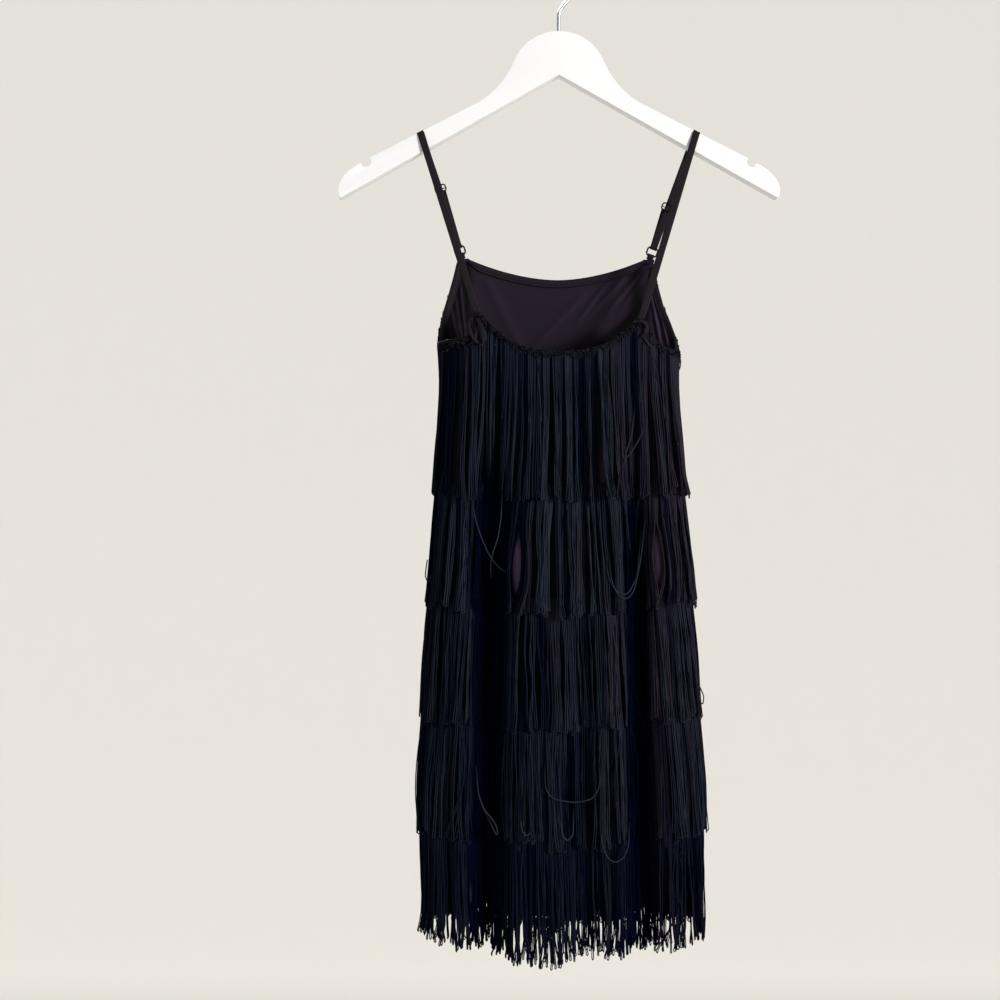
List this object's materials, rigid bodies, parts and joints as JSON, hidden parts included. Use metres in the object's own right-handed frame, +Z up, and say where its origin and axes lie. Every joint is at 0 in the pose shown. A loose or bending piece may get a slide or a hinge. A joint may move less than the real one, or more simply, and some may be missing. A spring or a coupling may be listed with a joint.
{
  "type": "fringed flapper dance dress on a wooden clothes hanger",
  "caption": "Sleeveless knit dance dress with thin adjustable straps and tiers of long hanging cord fringe, hung by its straps on a flat white wooden hanger with a wire hook.",
  "frame": {"origin": "inside of the top of the hanger's hook, where it rests on a rail", "axes": "+Z up along the hook's stem, +X to the right seen from the front of the dress, +Y away to the back, so the front faces -Y"},
  "size_m": [0.44, 0.0976, 0.9834],
  "materials": {
    "knit": "matte fine stretch knit, near black with a purple cast",
    "fringe": "soft sheen of twisted cord, near black with a blue cast",
    "trim": "woven elastic, satin black",
    "coated_metal": "black coated wire",
    "painted_wood": "smooth white paint, satin",
    "steel": "bright plated wire"
  },
  "bodies": {
    "root": {"front_panel": "knit", "back_panel": "knit", "front_neck_binding": "trim", "back_neck_binding": "trim", "left_armhole_binding": "trim", "right_armhole_binding": "trim", "fringe_front_1": "fringe", "fringe_back_1": "fringe", "fringe_front_2": "fringe", "fringe_back_2": "fringe", "fringe_front_3": "fringe", "fringe_back_3": "fringe", "fringe_front_4": "fringe", "fringe_back_4": "fringe", "fringe_front_5": "fringe", "fringe_back_5": "fringe", "hanger_hook": "steel", "hanger_wood": "painted_wood", "left_strap": "trim", "right_strap": "trim", "left_ring": "coated_metal", "right_ring": "coated_metal", "left_slider": "coated_metal", "right_slider": "coated_metal", "left_ring_tab": "trim", "right_ring_tab": "trim"}
  },
  "joints": []
}
